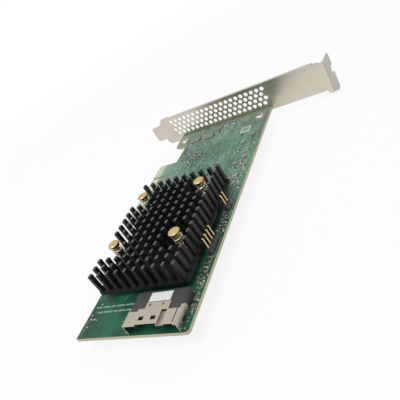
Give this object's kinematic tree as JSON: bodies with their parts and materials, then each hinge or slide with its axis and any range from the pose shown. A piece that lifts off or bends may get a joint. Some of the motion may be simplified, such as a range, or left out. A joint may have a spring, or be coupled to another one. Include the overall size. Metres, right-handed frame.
{
  "type": "raid controller card",
  "caption": "Low-profile storage controller card with edge fingers, a vented bracket, a black pin-fin heat sink on push pins, pin headers and a shielded cable port",
  "frame": {"origin": "middle of the key slot between the edge fingers, at the foot of the fingers and on the board's solder face", "axes": "+X along the board away from the bracket, +Y across the board away from the edge fingers, +Z out of the component side"},
  "size_m": [0.168, 0.12, 0.0235],
  "materials": {
    "board": "green solder mask over glass-fibre board",
    "gold": "gold-plated",
    "steel": "nickel-plated",
    "screw": "plated",
    "black_fins": "black anodised",
    "package": "moulded",
    "package_grey": "moulded",
    "pad": "soft",
    "brass": "satin",
    "spring": "bright wire",
    "header": "moulded",
    "shell": "nickel-plated",
    "housing": "moulded",
    "label": "blank",
    "ceramic_brown": "fired",
    "ceramic_white": "fired",
    "tin": "soldered tin",
    "inductor": "pressed powder",
    "lamp": "clear"
  },
  "bodies": {
    "root": {"circuit_board": "board", "edge_contacts_front": "gold", "edge_contacts_back": "gold", "bracket": "steel", "bracket_screws": "screw", "heat_sink": "black_fins", "controller_chip": "package", "thermal_pad": "pad", "push_pins": "brass", "push_pin_springs": "spring", "activity_header_base": "header", "activity_header_pins": "gold", "fan_header_base": "header", "fan_header_pins": "gold", "connector_shell": "shell", "connector_housing": "housing", "connector_contacts": "gold", "connector_label": "label", "capacitor_bodies": "ceramic_brown", "capacitor_ends": "tin", "resistor_bodies": "package", "resistor_ends": "tin", "bulk_capacitor_bodies": "ceramic_brown", "bulk_capacitor_ends": "tin", "back_capacitor_bodies": "ceramic_brown", "back_capacitor_ends": "tin", "power_inductors": "inductor", "regulators": "package_grey", "memory_bodies": "package_grey", "memory_leads": "tin", "crystal_cases": "ceramic_white", "crystal_lids": "gold", "indicator_leds": "lamp", "board_label": "label"}
  },
  "joints": []
}
